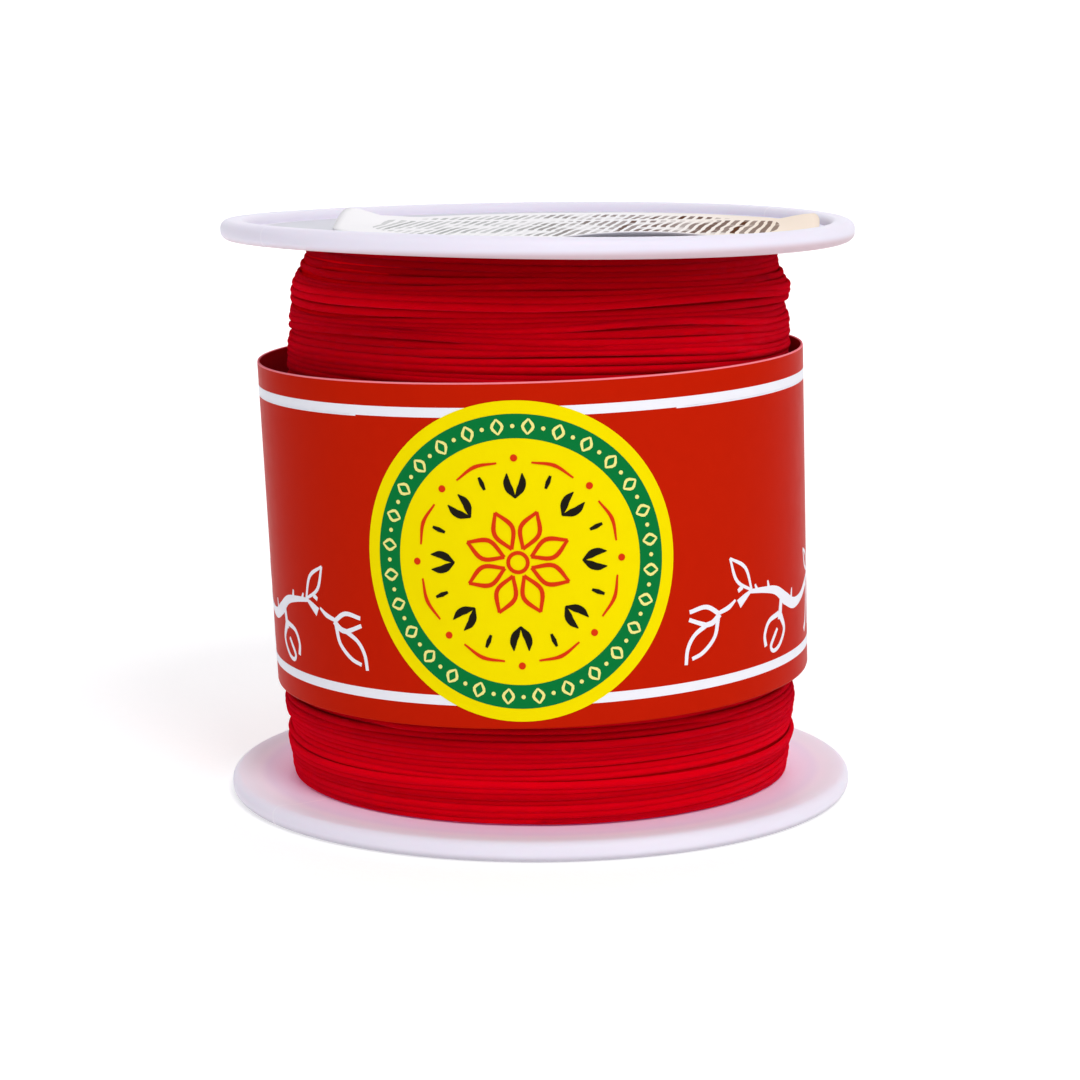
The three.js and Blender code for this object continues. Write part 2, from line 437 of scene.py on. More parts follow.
# Heights at which the cord passes the back of the spool, one for each turn.
def turnHeights(zone, chance):
    inset = cord["diameter"] / 2
    lowest, highest = zone["bottom"] + inset, zone["top"] - inset
    rising = zone["startsAt"] == "bottom"
    heights = [lowest if rising else highest]
    starts = []
    for traverse in range(zone["traverses"]):
        starts.append(len(heights) - 1)
        outermost = traverse == zone["traverses"] - 1
        while True:
            pitch = chance.uniform(*zone["outerPitch"]) if outermost else cord["pitch"]
            following = heights[-1] + (pitch if rising else -pitch)
            if not lowest <= following <= highest:
                break
            heights.append(following)
        rising = not rising
    return np.array(heights), starts[-1]


def slowDrift(turns, chance, every):
    knots = np.arange(0, turns.max() + 2 * every, every)
    return np.interp(turns, knots, chance.uniform(-1, 1, len(knots)))


# Averages each value with its neighbours, so many on each side, weighted by a bell curve.
def smoothed(values, reach, width):
    bell = np.exp(-0.5 * (np.arange(-reach, reach + 1) / width) ** 2)
    return np.convolve(np.pad(values, reach, mode="edge"), bell / bell.sum(), mode="valid")


def layCord(zone):
    chance = np.random.default_rng(zone["seed"])
    perTurn = cord["pointsPerTurn"]
    inset = cord["diameter"] / 2
    heights, outermost = turnHeights(zone, chance)
    turns = np.arange(0, len(heights) - 1, 1 / perTurn)
    height = np.interp(turns, np.arange(len(heights)), heights)
    around = turns * 2 * np.pi
    for wave, share, every in cord["waves"]:
        swing = slowDrift(turns, chance, every) * np.sin(wave * around)
        swing += slowDrift(turns, chance, every) * np.cos(wave * around)
        height += zone["wander"] * share * swing * cord["waveHeight"]
    # Each turn also strays a little by itself, so turns close up and part here and there.
    height += zone["stray"] * slowDrift(turns, chance, 0.21)
    for turn, reach, climb in zone["crossings"]:
        for beside, share in cord["drawnAlong"].items():
            away = np.abs(turns - outermost - turn - beside) / reach
            height += share * climb * (0.5 + 0.5 * np.cos(np.pi * np.minimum(away, 1)))
    height = np.clip(height, zone["bottom"] + inset, zone["top"] - inset)

    # The height map keeps the outside of everything laid so far: one column an angle.
    step, bearing = cord["mapStep"], cord["mapRows"]
    rows = np.arange(zone["bottom"] - 1, zone["top"] + 1, step)
    angles = np.arange(perTurn) * 2 * np.pi / perTurn + np.pi
    outside = windingRadius(angles[:, None], rows[None, :]) - 0.5 * zone["traverses"]
    near = np.arange(-bearing, bearing + 1)
    span, margin = cord["bridging"], cord["overlap"]
    radius = np.zeros_like(turns)
    for first in range(0, len(turns), perTurn):
        index = np.arange(max(first - margin, 0), min(first + perTurn + margin, len(turns)))
        column = index % perTurn
        row = np.round((height[index] - rows[0]) / step).astype(int)
        row = np.clip(row, bearing + 1, len(rows) - bearing - 2)
        gap = rows[row[:, None] + near] - height[index][:, None]
        stands = outside[column[:, None], row[:, None] + near]
        reachUp = cord["squash"] * np.sqrt(np.maximum(inset ** 2 - gap ** 2, 0))
        lifted = np.where(np.abs(gap) < inset, stands + reachUp, 0).max(axis=1)
        padded = np.pad(lifted, span, mode="edge")
        bridged = np.max([padded[k:k + len(lifted)] for k in range(2 * span + 1)], axis=0)
        settled = smoothed(bridged, *cord["bending"])
        main = (index >= first) & (index < first + perTurn)
        radius[index[main]] = settled[main]
        top = np.where(np.abs(gap[main]) < inset, settled[main][:, None] + reachUp[main], 0)
        where = (column[main][:, None], row[main][:, None] + near)
        outside[where] = np.maximum(outside[where], top)

    # The whole heap is eased in or out so that its outside keeps the winding's outline.
    mean = smoothed(outside.mean(axis=0), *cord["evening"])
    plain = smoothed(windingRadius(0, rows), *cord["evening"])
    radius += np.interp(height, rows, plain - mean)
    # In the outer layer a turn that rides over others is pressed in, and none sinks far.
    edge = windingRadius(turns * 2 * np.pi + np.pi, height) - inset * cord["squash"]
    proud = np.maximum(radius - edge, 0)
    radius += cord["mostProud"] * np.tanh(proud / cord["mostProud"]) - proud
    sunk = np.where(turns > outermost, np.maximum(edge - radius, 0), 0)
    radius += sunk - cord["mostSunk"] * np.tanh(sunk / cord["mostSunk"])
    radius += cord["sinking"] * (slowDrift(turns, chance, 0.9) - 0.9)
    return turns, height, radius


def braidedNylon(outerShade):
    material, tree = newMaterial("braided nylon cord, " + outerShade)
    # Dyed nylon filament in a round braid: a soft shine along each cord, small bright
    # flecks where the strands cross, every half millimetre along it.
    route = addNode(tree, "UVMap", {"uv_map": "alongCord"}).outputs["UV"]
    toneAndShade = addNode(tree, "Attribute", {"attribute_name": "toneAndShade"}).outputs["Fac"]
    split = addNode(tree, "SeparateXYZ", None, {"Vector": route})
    strands = []
    for lean in (1, -1):
        slant = addNode(tree, "Math", {"operation": "MULTIPLY_ADD"},
                        {0: split.outputs["X"], 1: 3.0 * lean, 2: split.outputs["Y"]})
        wave = addNode(tree, "Math", {"operation": "MULTIPLY"}, {0: slant.outputs[0], 1: 2 * math.pi})
        strands.append(addNode(tree, "Math", {"operation": "SINE"}, {0: wave.outputs[0]}))
    braid = addNode(tree, "Math", {"operation": "MAXIMUM"},
                    {0: strands[0].outputs[0], 1: strands[1].outputs[0]})
    lifted = addNode(tree, "MapRange", None,
                     {"Value": braid.outputs[0], "From Min": -0.6, "From Max": 1.0})
    shade = addNode(tree, "Mix", rgba, {0: toneAndShade, 6: cord["dark"], 7: cord["bright"]})
    # Painted shade: the hollows between the strands are painted darker.
    between = addNode(tree, "Mix", rgba, {0: 0.35, 6: shade.outputs[2], 7: "#A0000A"})
    colour = addNode(tree, "Mix", rgba,
                     {0: lifted.outputs["Result"], 6: between.outputs[2], 7: shade.outputs[2]})
    relief = addNode(tree, "Bump", None,
                     {"Height": lifted.outputs["Result"], "Strength": 0.5, "Distance": 0.00005})
    finishMaterial(tree, {
        "Base Color": colour.outputs[2], "Roughness": 0.42, "IOR": 1.53,
        "Normal": relief.outputs["Normal"],
        "Subsurface Weight": 0.5, "Subsurface Radius": (1.0, 0.08, 0.1), "Subsurface Scale": 0.0005,
        "Specular IOR Level": 0.0, "Sheen Weight": 0.16, "Sheen Roughness": 0.3,
        "Sheen Tint": "#FF5478",
    })
    return material


def buildCord(name, zone, material):
    turns, height, radius = layCord(zone)
    angle = turns * 2 * np.pi + np.pi
    x, y = radius * np.sin(angle), -radius * np.cos(angle)
    z = height + flangeLean(x, y) * (height / windingEdge[-1][0]) ** 2
    places = np.stack([x, y, z, np.full_like(x, 1 / mm)], axis=-1) * mm

    data = bpy.data.curves.new(name, "CURVE")
    data.dimensions = "3D"
    data.twist_mode = "Z_UP"
    data.bevel_depth = cord["drawnDiameter"] / 2 * mm
    data.bevel_resolution = 2
    route = data.splines.new("POLY")
    route.points.add(len(turns) - 1)
    route.points.foreach_set("co", places.astype(np.float32).ravel())
    drawn = bpy.data.objects.new(name, data)
    bpy.context.collection.objects.link(drawn)
    bpy.context.view_layer.update()
    depsgraph = bpy.context.evaluated_depsgraph_get()
    tube = bpy.data.meshes.new_from_object(drawn.evaluated_get(depsgraph))
    bpy.data.objects.remove(drawn)

    chance = np.random.default_rng(zone["seed"] + 1)
    # The tone is painted by height: painted shade on the turns near the upper flange, which lie in its
    # shade, and painted light on the lowest ones, which catch light off the floor.
    heights, shades = zip(*zone["shade"])
    tonesAndShades = np.interp(height, heights, shades)
    slow, quick = cord["toneDrift"]
    tonesAndShades += slow * slowDrift(turns, chance, 0.9) + quick * slowDrift(turns, chance, 0.2)
    sides = len(tube.vertices) // len(turns)
    corners = np.zeros(len(tube.vertices) * 3, dtype=np.float32)
    tube.vertices.foreach_get("co", corners)
    corners = corners.reshape(-1, sides, 3)
    outward = np.stack([np.sin(angle), -np.cos(angle), np.zeros_like(angle)], axis=-1)
    reach = ((corners - places[:, None, :3]) * outward[:, None]).sum(axis=2, keepdims=True)
    corners = corners - (1 - cord["squash"]) * reach * outward[:, None]
    # The lowest turn is pressed flat on the flange.
    corners[..., 2] = np.maximum(corners[..., 2], (spoolShape["webTop"] + 0.02) * mm)
    tube.vertices.foreach_set("co", corners.astype(np.float32).ravel())
    tube.attributes.new("toneAndShade", "FLOAT", "POINT").data.foreach_set("value", np.repeat(tonesAndShades, sides))
    length = np.linalg.norm(np.diff(places[:, :3], axis=0), axis=1).sum() / mm
    layer = tube.uv_layers[0]
    layer.name = "alongCord"
    uv = np.zeros(len(tube.loops) * 2, dtype=np.float32)
    layer.data.foreach_get("uv", uv)
    uv[1::2] *= length / cord["braidLength"]
    layer.data.foreach_set("uv", uv)

    mesh = bmesh.new()
    mesh.from_mesh(tube)
    bpy.data.meshes.remove(tube)
    openEdges = [edge for edge in mesh.edges if edge.is_boundary]
    bmesh.ops.holes_fill(mesh, edges=openEdges, sides=sides)
    bmesh.ops.recalc_face_normals(mesh, faces=mesh.faces)
    bmesh.ops.scale(mesh, verts=mesh.verts, vec=(1 / mm, 1 / mm, 1 / mm))
    piece = makePiece(name, mesh, [material])
    return belongs(piece, "cord", "winding"), length


core = {
    "innerRadius": 14.8,
    "below": 0.3,              # behind the band, under the winding's edge
    "belowTurns": 0.6,         # and so much further under the laid turns
    "laidUpTo": 22.2,
    "laidFrom": 49.0,
    "easing": 1.5,
    "turnRelief": 0.3,
    "stepsPerTurn": 5,
    "stepsRound": 90,
}


# Under the laid turns, and behind the band, the roll is one ring with a turn's hump at each pitch.
def buildWindingCore(shape, material):
    bottom, top = windingEdge[0][0], windingEdge[-1][0]
    outline = [(shape["innerRadius"], top), (shape["innerRadius"], bottom)]
    steps = shape["stepsPerTurn"]
    for turn in range(int((top - bottom) / cord["pitch"])):
        for step in range(steps):
            height = bottom + 0.05 + (turn + step / steps) * cord["pitch"]
            sunk = max(smoothStep((shape["laidUpTo"] - height) / shape["easing"]),
                       smoothStep((height - shape["laidFrom"]) / shape["easing"]))
            radius = float(windingRadius(0, height)) - shape["below"] - shape["belowTurns"] * sunk
            relief = shape["turnRelief"] * math.sin(math.pi * step / steps)
            outline.append((radius + relief, height))
    mesh = spinOutline(outline, shape["stepsRound"])
    for vert in mesh.verts:
        vert.co.z += flangeLean(vert.co.x, vert.co.y) * (vert.co.z / top) ** 2
    piece = makePiece("windingCore", mesh, [material])
    return belongs(piece, "cord", "winding")


def woundNylon():
    material, tree = newMaterial("wound nylon, inner turns")
    # The same dyed nylon, seen only deep in the grooves, without the braid; its darker colour is
    # painted shade for the grooves.
    place = addNode(tree, "TexCoord").outputs["Object"]
    fibre = addNode(tree, "TexNoise", None, {"Vector": place, "Scale": 1 / 0.0012, "Detail": 3.0})
    colour = addNode(tree, "Mix", rgba, {0: fibre.outputs["Fac"], 6: "#B8000B", 7: "#D80011"})
    relief = addNode(tree, "Bump", None,
                     {"Height": fibre.outputs["Fac"], "Strength": 0.4, "Distance": 0.0001})
    finishMaterial(tree, {"Base Color": colour.outputs[2], "Roughness": 0.5, "IOR": 1.53,
                          "Specular IOR Level": 0.0, "Normal": relief.outputs["Normal"]})
    return material


cordMaterial = braidedNylon("scarlet")
buildWindingCore(core, woundNylon())
for zoneName, zoneSettings in woundZones.items():
    piece, cordLength = buildCord(zoneName, zoneSettings, cordMaterial)
    print(f"{zoneName}: {cordLength / 1000:.1f} m of cord laid, {len(piece.data.polygons)} faces")


# Band: one strip of coated paper round the winding, its ends lapped at the back

bandShape = {
    "lower": {"height": 15.55, "shiftX": 0.34, "radiusX": 34.24, "radiusY": 34.35,
              "tiltX": 0.027, "tiltY": 0.017},
    "upper": {"height": 56.55, "shiftX": -1.07, "radiusX": 34.69, "radiusY": 34.51,
              "tiltX": 0.026, "tiltY": 0.008},
    "thickness": 0.26,
    "columns": 250,
    "rows": 14,
    "lapHalfAngle": 0.18,
    "lapStep": 0.3,
    "lapRamp": 0.14,
    "cutMargin": 0.2,
    "cutLean": 0.06,
    "printColour": "#C21E05",
    "coreColour": "#F6808C",
    "insideColour": "#B41A34",
}
flatRadius = 34.45       # turns a length along the flat strip into an angle
bandHeight = bandShape["upper"]["height"] - bandShape["lower"]["height"]


# Where a point of the flat strip lies: angle round, share of the height, distance off the paper.
def bandPoint(angle, share, proud):
    lower, upper = bandShape["lower"], bandShape["upper"]
    between = {name: lower[name] + (upper[name] - lower[name]) * share for name in lower}
    lapStart = math.pi - bandShape["lapHalfAngle"]
    proud += bandShape["lapStep"] * smoothStep((angle - lapStart) / bandShape["lapRamp"] + 1)
    x = between["shiftX"] + (between["radiusX"] + proud) * math.sin(angle)
    y = -(between["radiusY"] + proud) * math.cos(angle)
    return Vector((x, y, between["height"] + between["tiltX"] * x + between["tiltY"] * y))


def coatedPaper(name, colours, roughness=0.22):
    material, tree = newMaterial(name)
    # Coated paper printed in one flat ink: smooth with a low shine, a faint mottle of about
    # 2 mm from the press and a paper grain of 0.3 mm that breaks up the reflections.
    place = addNode(tree, "TexCoord").outputs["Object"]
    mottle = addNode(tree, "TexNoise", None, {"Vector": place, "Scale": 1 / 0.002, "Detail": 4.0})
    grain = addNode(tree, "TexNoise", None, {"Vector": place, "Scale": 1 / 0.0003, "Detail": 2.0})
    colour = addNode(tree, "Mix", rgba, {0: mottle.outputs["Fac"], 6: colours[0], 7: colours[1]})
    gloss = addNode(tree, "MapRange", None,
                    {"Value": mottle.outputs["Fac"],
                     "To Min": roughness - 0.06, "To Max": roughness + 0.06})
    relief = addNode(tree, "Bump", None,
                     {"Height": grain.outputs["Fac"], "Strength": 0.12, "Distance": 0.00003})
    finishMaterial(tree, {"Base Color": colour.outputs[2], "Roughness": gloss.outputs["Result"],
                          "IOR": 1.5, "Specular IOR Level": 0.008,
                          "Normal": relief.outputs["Normal"]})
    return material


def buildBand(shape):
    reach = math.pi + shape["lapHalfAngle"]
    mesh = bmesh.new()
    bmesh.ops.create_grid(mesh, x_segments=shape["columns"], y_segments=shape["rows"], size=1)
    # Along the upper cut the ink ends in a hair of pink paper core. Both cuts lean in a little.
    for face in mesh.faces:
        face.material_index = 1 if face.calc_center_median().y > 1 - 2 / shape["rows"] else 0
    margin = shape["cutMargin"] / bandHeight
    for vert in mesh.verts:
        row = round((vert.co.y + 1) / 2 * shape["rows"])
        inner = margin + (1 - 2 * margin) * (row - 1) / (shape["rows"] - 2)
        share = {0: 0, shape["rows"]: 1}.get(row, inner)
        vert.co = bandPoint(vert.co.x * reach, share, -shape["cutLean"] if share in (0, 1) else 0)
    bmesh.ops.recalc_face_normals(mesh, faces=mesh.faces)
    if mesh.faces[:][0].normal.dot(mesh.faces[:][0].calc_center_median()) < 0:
        bmesh.ops.reverse_faces(mesh, faces=mesh.faces)
    cutEdge = coatedPaper("coated paper, cut edge", (shape["coreColour"], "#FA929C"), 0.6)
    materials = [
        coatedPaper("coated paper, printed red", (shape["printColour"], "#BC1C04"), 0.32),
        cutEdge,
        cutEdge,
        coatedPaper("coated paper, inner face", (shape["insideColour"], "#A4162C"), 0.6),
    ]
    piece = makePiece("paperBand", mesh, materials)
    wall = piece.modifiers.new("paper thickness", "SOLIDIFY")
    wall.thickness = shape["thickness"] * mm
    wall.offset = -1
    wall.material_offset_rim = 1
    wall.material_offset = 3
    return belongs(piece, "band_paper", "band")


buildBand(bandShape)
print("band wrapped")


# Print on the band. Each ink is a thin film, drawn flat (x along the strip from the
# medallion's middle, y up from the strip's lower edge) and then wrapped like the paper.

inkStack = {"stripes": 0.03, "ground": 0.06, "ring": 0.09, "motifs": 0.12}
inkRoot = 0.03           # how far each film reaches into the paper
inkFacet = 1.5           # the longest flat stretch along the strip, before it is wrapped
medallion = {
    "angle": math.radians(-3.6),
    "height": 19.9,
    "radius": 19.0,
    "ringOuter": 17.45,
    "ringInner": 14.6,
    "inks": {
        "yellow": ("#F6E300", "#F2DC00"),
        "green": ("#0A7A3A", "#0C7436"),
        "pale yellow": ("#F3EC8C", "#EEE68A"),
        "vermilion": ("#DC3A12", "#D63410"),
        "black": ("#1C1A14", "#242018"),
    },
    "lozenges": 28,
    "lozenge": {"outward": 0.9, "aside": 0.62, "widths": (0.2, 0.34, 0.34, 0.2)},
    "ringDot": 0.26,
    "petals": 8,
    "hub": {"radius": 1.15, "line": 0.45},
    "petal": {"foot": 1.7, "tip": 6.4, "belly": 1.15, "line": 0.5},
    "leafPair": {"foot": 7.6, "curve": [(1.5, 0.85), (2.9, 0.9)], "widths": (0.15, 0.95, 0.8, 0.1)},
    "tick": {"foot": 9.3, "tip": 10.9, "widths": (0.3, 0.55, 0.3)},
    "arc": {"ends": 11.6, "middle": 12.2, "aside": 2.6, "widths": (0.2, 0.45, 0.2)},
    "spot": {"at": 12.3, "radius": 0.42},
}


def curveThrough(points, steps):
    # A smooth line through the points (Catmull-Rom), as (x, y) pairs.
    ends = [2 * Vector(points[0]) - Vector(points[1]), *map(Vector, points),
            2 * Vector(points[-1]) - Vector(points[-2])]
    line = []
    for index in range(1, len(ends) - 2):
        before, start, finish, after = ends[index - 1:index + 3]
        last = index == len(ends) - 3
        for step in range(steps + (1 if last else 0)):
            t = step / steps
            line.append(0.5 * (2 * start + (finish - before) * t
                               + (2 * before - 5 * start + 4 * finish - after) * t * t
                               + (3 * start - before - 3 * finish + after) * t ** 3))
    return line


# A flat stroke along a line, as wide as widths says from its start to its end.
def addStroke(mesh, points, widths, steps=6, closed=False):
    line = [Vector(p) for p in points] if closed else curveThrough(points, steps)
    count = len(line)
    made = bmesh.ops.create_grid(mesh, x_segments=count - 1, y_segments=1, size=1)["verts"]
    for vert in made:
        index = round((vert.co.x + 1) / 2 * (count - 1))
        before, after = line[max(index - 1, 0)], line[min(index + 1, count - 1)]
        if closed and index in (0, count - 1):
            before, after = line[-2], line[1]
        along = (after - before).normalized()
        share = index / (count - 1) * (len(widths) - 1)
        low = min(int(share), len(widths) - 2)
        width = widths[low] + (widths[low + 1] - widths[low]) * (share - low)
        across = Vector((-along.y, along.x)) * width / 2 * vert.co.y
        vert.co = (line[index].x + across.x, line[index].y + across.y, 0)


def addDot(mesh, x, y, radius, corners=14):
    made = bmesh.ops.create_circle(mesh, cap_ends=True, segments=corners, radius=radius)["verts"]
    bmesh.ops.translate(mesh, verts=made, vec=(x, y, 0))


# Two curved sides of a leaf outline, from its foot to its tip.
def addLeaf(mesh, foot, tip, belly, width, opening=0.0):
    foot, tip = Vector(foot), Vector(tip)
    across = Vector((-(tip - foot).y, (tip - foot).x)).normalized()
    for side in (1, -1):
        middle = (foot + tip) / 2 + across * belly * side
        end = tip + across * opening * side
        addStroke(mesh, [foot, middle, end], (width * 0.8, width, width * 1.05, width * 0.7))


def printInk(name, mesh, thickness, ink):
    bmesh.ops.remove_doubles(mesh, verts=mesh.verts, dist=0.002)
    grown = bmesh.ops.extrude_face_region(mesh, geom=mesh.faces[:])["geom"]
    top = [item for item in grown if isinstance(item, bmesh.types.BMVert)]
    bmesh.ops.translate(mesh, verts=mesh.verts, vec=(0, 0, -inkRoot))
    bmesh.ops.translate(mesh, verts=top, vec=(0, 0, thickness + inkRoot))
    lowest = min(vert.co.x for vert in mesh.verts)
    highest = max(vert.co.x for vert in mesh.verts)
    position = math.floor(lowest / inkFacet) * inkFacet + inkFacet
    while position < highest:
        bmesh.ops.bisect_plane(mesh, geom=mesh.verts[:] + mesh.edges[:] + mesh.faces[:], dist=0.001,
                               plane_co=(position, 0, 0), plane_no=(1, 0, 0))
        position += inkFacet
    bmesh.ops.recalc_face_normals(mesh, faces=mesh.faces)
    for vert in mesh.verts:
        angle = medallion["angle"] + vert.co.x / flatRadius
        vert.co = bandPoint(angle, vert.co.y / bandHeight, vert.co.z)
    piece = makePiece(name, mesh, [ink], sharpAngle=30)
    return belongs(piece, "band_paper")


stripes = {
    "lowerEdge": (2.72, 3.88),
    "upperEdge": (36.92, 38.08),
    "thickenPast": 20.0,
    "thicken": 0.14,
    "overlap": 0.05,
    "endMargin": 0.02,
}


def addRectangle(mesh, left, right, low, high):
    for vert in bmesh.ops.create_grid(mesh, x_segments=1, y_segments=1, size=1)["verts"]:
        vert.co = (right if vert.co.x > 0 else left, high if vert.co.y > 0 else low, 0)


def printStripes(settings, ink):
    mesh = bmesh.new()
    reach = math.pi + bandShape["lapHalfAngle"]
    start = -(reach + medallion["angle"]) * flatRadius + settings["endMargin"]
    finish = (reach - medallion["angle"]) * flatRadius - settings["endMargin"]
    for low, high in (settings["lowerEdge"], settings["upperEdge"]):
        addRectangle(mesh, start, finish, low, high)
    # The strip's own printing sets the upper stripe a hair wider beyond the medallion.
    low, past = settings["upperEdge"][0], settings["thickenPast"]
    for left, right in ((start, -past), (past, finish)):
        addRectangle(mesh, left, right, low - settings["thicken"], low + settings["overlap"])
    return printInk("bandStripes", mesh, inkStack["stripes"], ink)


# One sprig, drawn outward from the medallion and printed again mirrored on its other side.
# Each branch has its points and its widths, from its start to its end. Each leaf has its foot,
# its tip, its belly, and how far its tip stays open.
sprig = {
    "line": 0.44,
    "branches": [
        ([(25.7, 11.6), (27.2, 12.0), (28.4, 12.7)], (0.5, 0.6, 0.3)),
        ([(29.0, 12.1), (30.2, 12.8), (31.4, 13.4)], (1.2, 0.8, 0.3)),
        ([(31.2, 13.3), (34.0, 13.0), (37.0, 12.4), (39.6, 10.9)], (0.5, 0.75, 1.1, 1.6)),
        ([(39.4, 11.0), (42.4, 9.8), (45.8, 10.0), (49.6, 11.2), (53.2, 12.2)],
         (1.6, 1.4, 1.0, 0.9, 0.7)),
        ([(38.6, 11.6), (38.2, 10.2), (37.9, 8.6)], (0.9, 0.8, 1.0)),
        ([(53.2, 12.2), (55.8, 12.0), (58.8, 13.1), (62.0, 12.2)], (0.8, 0.7, 0.6, 0.4)),
        ([(41.6, 10.4), (41.9, 11.8)], (0.6, 0.25)),
        ([(35.2, 13.0), (35.0, 14.0)], (0.6, 0.25)),
        ([(32.6, 13.2), (32.2, 14.0)], (0.6, 0.25)),
        ([(28.9, 13.7), (29.7, 14.1)], (0.5, 0.6)),
        ([(25.7, 11.4), (23.6, 12.6), (21.1, 12.3)], (0.6, 0.55, 0.5)),
        ([(23.5, 10.4), (22.2, 10.9), (21.0, 11.4)], (0.6, 0.5, 0.5)),
        ([(25.7, 11.4), (24.6, 10.6), (23.5, 10.4)], (0.7, 0.7, 0.6)),
        ([(25.4, 11.0), (24.8, 8.8), (23.0, 7.2), (21.3, 6.6)], (0.6, 0.5, 0.5, 0.45)),
        ([(23.5, 10.4), (21.7, 9.4), (20.7, 7.9), (20.4, 6.0)], (0.6, 0.5, 0.5, 0.45)),
        ([(37.6, 9.4), (35.2, 8.9), (34.1, 7.4), (34.3, 5.9)], (0.7, 0.55, 0.5, 0.6)),
        ([(38.2, 9.0), (39.1, 7.2), (37.8, 5.5), (36.2, 5.0), (35.5, 5.7), (36.6, 7.0),
          (37.2, 7.6)],
         (0.9, 0.55, 0.5, 0.5, 0.5, 0.5, 0.4)),
        ([(50.2, 10.9), (49.6, 8.0), (48.6, 5.6)], (0.5, 0.45, 0.6)),
        ([(48.9, 6.2), (47.9, 5.2)], (0.5, 0.9)),
    ],
    "leaves": [
        ((31.5, 13.4), (27.6, 17.9), 1.05, 0.0),
        ((51.4, 12.2), (48.0, 15.6), 0.8, 0.0),
        ((53.4, 12.4), (51.9, 5.2), 0.55, 0.4),
        ((61.8, 12.4), (66.4, 16.4), 1.0, 0.0),
        ((61.8, 12.2), (67.2, 9.6), 0.9, 0.25),
    ],
}


def printSprigs(settings, ink):
    mesh = bmesh.new()
    for side in (-1, 1):
        for points, widths in settings["branches"]:
            addStroke(mesh, [(x * side, y) for x, y in points], widths)
        for foot, tip, belly, opening in settings["leaves"]:
            addLeaf(mesh, (foot[0] * side, foot[1]), (tip[0] * side, tip[1]), belly,
                    settings["line"], opening)
    return printInk("bandSprigs", mesh, inkStack["stripes"], ink)


def ringPoints(radius, count, centreHeight):
    return [(radius * math.cos(2 * math.pi * k / count),
             centreHeight + radius * math.sin(2 * math.pi * k / count)) for k in range(count + 1)]


def outwardAndAlong(angle):
    outward = Vector((math.cos(angle), math.sin(angle)))
    return outward, Vector((-outward.y, outward.x))


# Round the ring: a lozenge between two small dots, again and again.
def printBorder(shape, halfway, ink):
    mesh = bmesh.new()
    count, lozenge = shape["lozenges"], shape["lozenge"]
    for index in range(count):
        outward, along = outwardAndAlong(2 * math.pi * (index + 0.5) / count)
        centre = outward * halfway + Vector((0, shape["height"]))
        foot, tip = centre - outward * lozenge["outward"], centre + outward * lozenge["outward"]
        for side in (-1, 1):
            corner = centre + along * lozenge["aside"] * side
            addStroke(mesh, [foot, corner, tip], lozenge["widths"], steps=3)
        dot = outwardAndAlong(2 * math.pi * index / count)[0] * halfway
        addDot(mesh, dot.x, dot.y + shape["height"], shape["ringDot"], corners=8)
    printInk("medallionBorder", mesh, inkStack["motifs"], ink)


# In the middle: an eight-petalled rosette, with leaf pairs, ticks, arcs and spots round it.
def printRosette(shape, redInk, blackInk):
    redLines, blackLines = bmesh.new(), bmesh.new()
    hub, petal, pair = shape["hub"], shape["petal"], shape["leafPair"]
    tick, arc, spot = shape["tick"], shape["arc"], shape["spot"]
    centre = Vector((0, shape["height"]))
    rim = ringPoints(hub["radius"], 24, shape["height"])
    addStroke(redLines, rim, (hub["line"], hub["line"]), closed=True)
    count = shape["petals"]
    for index in range(count):
        angle = math.pi / count + 2 * math.pi * index / count
        outward, along = outwardAndAlong(angle)
        addLeaf(redLines, centre + outward * petal["foot"], centre + outward * petal["tip"],
                petal["belly"], petal["line"])
        spoke, aside = outwardAndAlong(angle + math.pi / count)
        addDot(redLines, spoke.x * spot["at"], spoke.y * spot["at"] + shape["height"], spot["radius"])
        foot = centre + spoke * pair["foot"]
        for side in (-1, 1):
            curve = [foot + spoke * out + aside * reach * side for out, reach in pair["curve"]]
            addStroke(blackLines, [foot, *curve], pair["widths"], steps=5)
        ends = [centre + outward * tick["foot"], centre + outward * tick["tip"]]
        addStroke(blackLines, ends, tick["widths"], steps=4)
        behind = centre + outward * arc["ends"]
        addStroke(redLines, [behind - along * arc["aside"], centre + outward * arc["middle"],
                             behind + along * arc["aside"]], arc["widths"])
    printInk("medallionRosette", redLines, inkStack["motifs"], redInk)
    printInk("medallionLeaves", blackLines, inkStack["motifs"], blackInk)


def printMedallion(shape):
    inks = {name: coatedPaper("coated paper, printed " + name, colours)
            for name, colours in shape["inks"].items()}
    ground = bmesh.new()
    addDot(ground, 0, shape["height"], shape["radius"], corners=120)
    printInk("medallionGround", ground, inkStack["ground"], inks["yellow"])

    ring = bmesh.new()
    halfway = (shape["ringOuter"] + shape["ringInner"]) / 2
    width = shape["ringOuter"] - shape["ringInner"]
    addStroke(ring, ringPoints(halfway, 120, shape["height"]), (width, width), closed=True)
    printInk("medallionRing", ring, inkStack["ring"], inks["green"])
    printBorder(shape, halfway, inks["pale yellow"])
    printRosette(shape, inks["vermilion"], inks["black"])


whiteInk = coatedPaper("coated paper, unprinted white", ("#F2F2F8", "#ECEEF6"))
printStripes(stripes, whiteInk)
printSprigs(sprig, whiteInk)
printMedallion(medallion)
print("band printed")


# Label: a thin round of paper lying in the upper flange, curled up at three places

